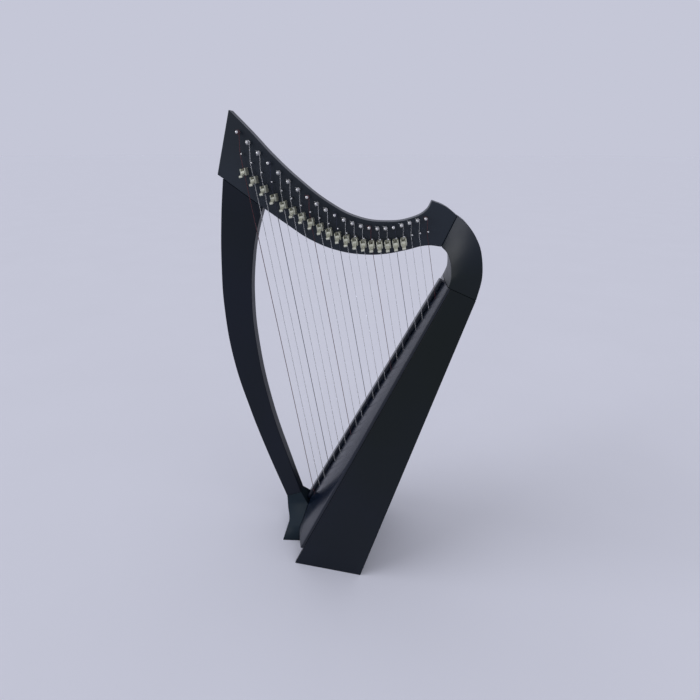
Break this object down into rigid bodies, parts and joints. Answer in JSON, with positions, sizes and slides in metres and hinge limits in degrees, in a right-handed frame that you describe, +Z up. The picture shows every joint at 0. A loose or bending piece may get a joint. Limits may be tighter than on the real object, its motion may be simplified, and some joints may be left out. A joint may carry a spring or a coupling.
{
  "type": "lever harp",
  "caption": "Small floor-standing lever harp in gloss black with a curved column, tuning pins through the neck, swinging sharping levers and a tapered soundbox.",
  "frame": {"origin": "on the floor, below the middle of the harp's box", "axes": "+X from the column to the soundbox, +Z up; the strings and levers are on the -Y side of the neck"},
  "size_m": [0.4526, 0.2276, 0.8592],
  "materials": {
    "lacquer": "gloss black lacquer",
    "bare_wood": "bare spruce",
    "nickel": "polished nickel",
    "string": "clear, red and dark blue nylon"
  },
  "bodies": {
    "harp": {"back_brace_1": "bare_wood", "back_brace_2": "bare_wood", "base_board": "lacquer", "column": "lacquer", "foot_block": "lacquer", "neck": "lacquer", "shoulder_block": "lacquer", "soundboard": "lacquer", "soundbox_back": "lacquer", "soundbox_side_left": "lacquer", "soundbox_side_right": "lacquer", "string_rib": "lacquer", "strings": "string"},
    "lever_handle_01": {"lever_handle_01": "nickel"},
    "lever_handle_02": {"lever_handle_02": "nickel"},
    "lever_handle_03": {"lever_handle_03": "nickel"},
    "lever_handle_04": {"lever_handle_04": "nickel"},
    "lever_handle_05": {"lever_handle_05": "nickel"},
    "lever_handle_06": {"lever_handle_06": "nickel"},
    "lever_handle_07": {"lever_handle_07": "nickel"},
    "lever_handle_08": {"lever_handle_08": "nickel"},
    "lever_handle_09": {"lever_handle_09": "nickel"},
    "lever_handle_10": {"lever_handle_10": "nickel"},
    "lever_handle_11": {"lever_handle_11": "nickel"},
    "lever_handle_12": {"lever_handle_12": "nickel"},
    "lever_handle_13": {"lever_handle_13": "nickel"},
    "lever_handle_14": {"lever_handle_14": "nickel"},
    "lever_handle_15": {"lever_handle_15": "nickel"},
    "lever_handle_16": {"lever_handle_16": "nickel"},
    "lever_handle_17": {"lever_handle_17": "nickel"},
    "lever_handle_18": {"lever_handle_18": "nickel"},
    "lever_handle_19": {"lever_handle_19": "nickel"},
    "tuning_pin_01": {"tuning_pin_01": "nickel"},
    "tuning_pin_02": {"tuning_pin_02": "nickel"},
    "tuning_pin_03": {"tuning_pin_03": "nickel"},
    "tuning_pin_04": {"tuning_pin_04": "nickel"},
    "tuning_pin_05": {"tuning_pin_05": "nickel"},
    "tuning_pin_06": {"tuning_pin_06": "nickel"},
    "tuning_pin_07": {"tuning_pin_07": "nickel"},
    "tuning_pin_08": {"tuning_pin_08": "nickel"},
    "tuning_pin_09": {"tuning_pin_09": "nickel"},
    "tuning_pin_10": {"tuning_pin_10": "nickel"},
    "tuning_pin_11": {"tuning_pin_11": "nickel"},
    "tuning_pin_12": {"tuning_pin_12": "nickel"},
    "tuning_pin_13": {"tuning_pin_13": "nickel"},
    "tuning_pin_14": {"tuning_pin_14": "nickel"},
    "tuning_pin_15": {"tuning_pin_15": "nickel"},
    "tuning_pin_16": {"tuning_pin_16": "nickel"},
    "tuning_pin_17": {"tuning_pin_17": "nickel"},
    "tuning_pin_18": {"tuning_pin_18": "nickel"},
    "tuning_pin_19": {"tuning_pin_19": "nickel"},
    "tuning_pin_20": {"tuning_pin_20": "nickel"},
    "tuning_pin_21": {"tuning_pin_21": "nickel"},
    "tuning_pin_22": {"tuning_pin_22": "nickel"}
  },
  "joints": [
    {"name": "lever_handle_01_swing", "type": "hinge", "parent": "harp", "child": "lever_handle_01", "pos_m": [-0.17211, -0.0268, 0.76067], "axis": [-0.9774, 0, -0.2113], "range_deg": [0, 105]},
    {"name": "lever_handle_02_swing", "type": "hinge", "parent": "harp", "child": "lever_handle_02", "pos_m": [-0.15458, -0.0268, 0.74754], "axis": [-0.9772, 0, -0.2121], "range_deg": [0, 105]},
    {"name": "lever_handle_03_swing", "type": "hinge", "parent": "harp", "child": "lever_handle_03", "pos_m": [-0.13676, -0.0268, 0.73282], "axis": [-0.9771, 0, -0.2129], "range_deg": [0, 105]},
    {"name": "lever_handle_04_swing", "type": "hinge", "parent": "harp", "child": "lever_handle_04", "pos_m": [-0.11922, -0.0268, 0.71904], "axis": [-0.9769, 0, -0.2138], "range_deg": [0, 105]},
    {"name": "lever_handle_05_swing", "type": "hinge", "parent": "harp", "child": "lever_handle_05", "pos_m": [-0.10221, -0.0268, 0.70737], "axis": [-0.9767, 0, -0.2146], "range_deg": [0, 105]},
    {"name": "lever_handle_06_swing", "type": "hinge", "parent": "harp", "child": "lever_handle_06", "pos_m": [-0.08572, -0.0268, 0.69774], "axis": [-0.9765, 0, -0.2154], "range_deg": [0, 105]},
    {"name": "lever_handle_07_swing", "type": "hinge", "parent": "harp", "child": "lever_handle_07", "pos_m": [-0.06948, -0.0268, 0.6889], "axis": [-0.9763, 0, -0.2162], "range_deg": [0, 105]},
    {"name": "lever_handle_08_swing", "type": "hinge", "parent": "harp", "child": "lever_handle_08", "pos_m": [-0.05334, -0.0268, 0.68016], "axis": [-0.9762, 0, -0.217], "range_deg": [0, 105]},
    {"name": "lever_handle_09_swing", "type": "hinge", "parent": "harp", "child": "lever_handle_09", "pos_m": [-0.03738, -0.0268, 0.6719], "axis": [-0.976, 0, -0.2178], "range_deg": [0, 105]},
    {"name": "lever_handle_10_swing", "type": "hinge", "parent": "harp", "child": "lever_handle_10", "pos_m": [-0.02171, -0.0268, 0.66455], "axis": [-0.9758, 0, -0.2186], "range_deg": [0, 105]},
    {"name": "lever_handle_11_swing", "type": "hinge", "parent": "harp", "child": "lever_handle_11", "pos_m": [-0.00643, -0.0268, 0.6586], "axis": [-0.9756, 0, -0.2194], "range_deg": [0, 105]},
    {"name": "lever_handle_12_swing", "type": "hinge", "parent": "harp", "child": "lever_handle_12", "pos_m": [0.00847, -0.0268, 0.65397], "axis": [-0.9754, 0, -0.2203], "range_deg": [0, 105]},
    {"name": "lever_handle_13_swing", "type": "hinge", "parent": "harp", "child": "lever_handle_13", "pos_m": [0.02305, -0.0268, 0.65033], "axis": [-0.9753, 0, -0.2211], "range_deg": [0, 105]},
    {"name": "lever_handle_14_swing", "type": "hinge", "parent": "harp", "child": "lever_handle_14", "pos_m": [0.03727, -0.0268, 0.6479], "axis": [-0.9751, 0, -0.2219], "range_deg": [0, 105]},
    {"name": "lever_handle_15_swing", "type": "hinge", "parent": "harp", "child": "lever_handle_15", "pos_m": [0.05106, -0.0268, 0.64696], "axis": [-0.9749, 0, -0.2227], "range_deg": [0, 105]},
    {"name": "lever_handle_16_swing", "type": "hinge", "parent": "harp", "child": "lever_handle_16", "pos_m": [0.06441, -0.0268, 0.64749], "axis": [-0.9747, 0, -0.2235], "range_deg": [0, 105]},
    {"name": "lever_handle_17_swing", "type": "hinge", "parent": "harp", "child": "lever_handle_17", "pos_m": [0.07749, -0.0268, 0.64879], "axis": [-0.9745, 0, -0.2243], "range_deg": [0, 105]},
    {"name": "lever_handle_18_swing", "type": "hinge", "parent": "harp", "child": "lever_handle_18", "pos_m": [0.09026, -0.0268, 0.651], "axis": [-0.9743, 0, -0.2251], "range_deg": [0, 105]},
    {"name": "lever_handle_19_swing", "type": "hinge", "parent": "harp", "child": "lever_handle_19", "pos_m": [0.10271, -0.0268, 0.65411], "axis": [-0.9741, 0, -0.2259], "range_deg": [0, 105]},
    {"name": "tuning_pin_01_turn", "type": "hinge", "parent": "harp", "child": "tuning_pin_01", "pos_m": [-0.18274, 0, 0.82468], "axis": [0, -1, 0], "continuous": true},
    {"name": "tuning_pin_02_turn", "type": "hinge", "parent": "harp", "child": "tuning_pin_02", "pos_m": [-0.16507, 0, 0.80865], "axis": [0, -1, 0], "continuous": true},
    {"name": "tuning_pin_03_turn", "type": "hinge", "parent": "harp", "child": "tuning_pin_03", "pos_m": [-0.14711, 0, 0.7922], "axis": [0, -1, 0], "continuous": true},
    {"name": "tuning_pin_04_turn", "type": "hinge", "parent": "harp", "child": "tuning_pin_04", "pos_m": [-0.12932, 0, 0.77615], "axis": [0, -1, 0], "continuous": true},
    {"name": "tuning_pin_05_turn", "type": "hinge", "parent": "harp", "child": "tuning_pin_05", "pos_m": [-0.11185, 0, 0.76109], "axis": [0, -1, 0], "continuous": true},
    {"name": "tuning_pin_06_turn", "type": "hinge", "parent": "harp", "child": "tuning_pin_06", "pos_m": [-0.09477, 0, 0.74728], "axis": [0, -1, 0], "continuous": true},
    {"name": "tuning_pin_07_turn", "type": "hinge", "parent": "harp", "child": "tuning_pin_07", "pos_m": [-0.07801, 0, 0.73438], "axis": [0, -1, 0], "continuous": true},
    {"name": "tuning_pin_08_turn", "type": "hinge", "parent": "harp", "child": "tuning_pin_08", "pos_m": [-0.06154, 0, 0.72255], "axis": [0, -1, 0], "continuous": true},
    {"name": "tuning_pin_09_turn", "type": "hinge", "parent": "harp", "child": "tuning_pin_09", "pos_m": [-0.04533, 0, 0.71197], "axis": [0, -1, 0], "continuous": true},
    {"name": "tuning_pin_10_turn", "type": "hinge", "parent": "harp", "child": "tuning_pin_10", "pos_m": [-0.02936, 0, 0.70263], "axis": [0, -1, 0], "continuous": true},
    {"name": "tuning_pin_11_turn", "type": "hinge", "parent": "harp", "child": "tuning_pin_11", "pos_m": [-0.01362, 0, 0.69441], "axis": [0, -1, 0], "continuous": true},
    {"name": "tuning_pin_12_turn", "type": "hinge", "parent": "harp", "child": "tuning_pin_12", "pos_m": [0.00176, 0, 0.68747], "axis": [0, -1, 0], "continuous": true},
    {"name": "tuning_pin_13_turn", "type": "hinge", "parent": "harp", "child": "tuning_pin_13", "pos_m": [0.01664, 0, 0.682], "axis": [0, -1, 0], "continuous": true},
    {"name": "tuning_pin_14_turn", "type": "hinge", "parent": "harp", "child": "tuning_pin_14", "pos_m": [0.03096, 0, 0.6781], "axis": [0, -1, 0], "continuous": true},
    {"name": "tuning_pin_15_turn", "type": "hinge", "parent": "harp", "child": "tuning_pin_15", "pos_m": [0.04478, 0, 0.67575], "axis": [0, -1, 0], "continuous": true},
    {"name": "tuning_pin_16_turn", "type": "hinge", "parent": "harp", "child": "tuning_pin_16", "pos_m": [0.05817, 0, 0.67505], "axis": [0, -1, 0], "continuous": true},
    {"name": "tuning_pin_17_turn", "type": "hinge", "parent": "harp", "child": "tuning_pin_17", "pos_m": [0.07128, 0, 0.67582], "axis": [0, -1, 0], "continuous": true},
    {"name": "tuning_pin_18_turn", "type": "hinge", "parent": "harp", "child": "tuning_pin_18", "pos_m": [0.08406, 0, 0.6781], "axis": [0, -1, 0], "continuous": true},
    {"name": "tuning_pin_19_turn", "type": "hinge", "parent": "harp", "child": "tuning_pin_19", "pos_m": [0.09652, 0, 0.6818], "axis": [0, -1, 0], "continuous": true},
    {"name": "tuning_pin_20_turn", "type": "hinge", "parent": "harp", "child": "tuning_pin_20", "pos_m": [0.10878, 0, 0.68618], "axis": [0, -1, 0], "continuous": true},
    {"name": "tuning_pin_21_turn", "type": "hinge", "parent": "harp", "child": "tuning_pin_21", "pos_m": [0.12091, 0, 0.69063], "axis": [0, -1, 0], "continuous": true},
    {"name": "tuning_pin_22_turn", "type": "hinge", "parent": "harp", "child": "tuning_pin_22", "pos_m": [0.13314, 0, 0.694], "axis": [0, -1, 0], "continuous": true}
  ]
}
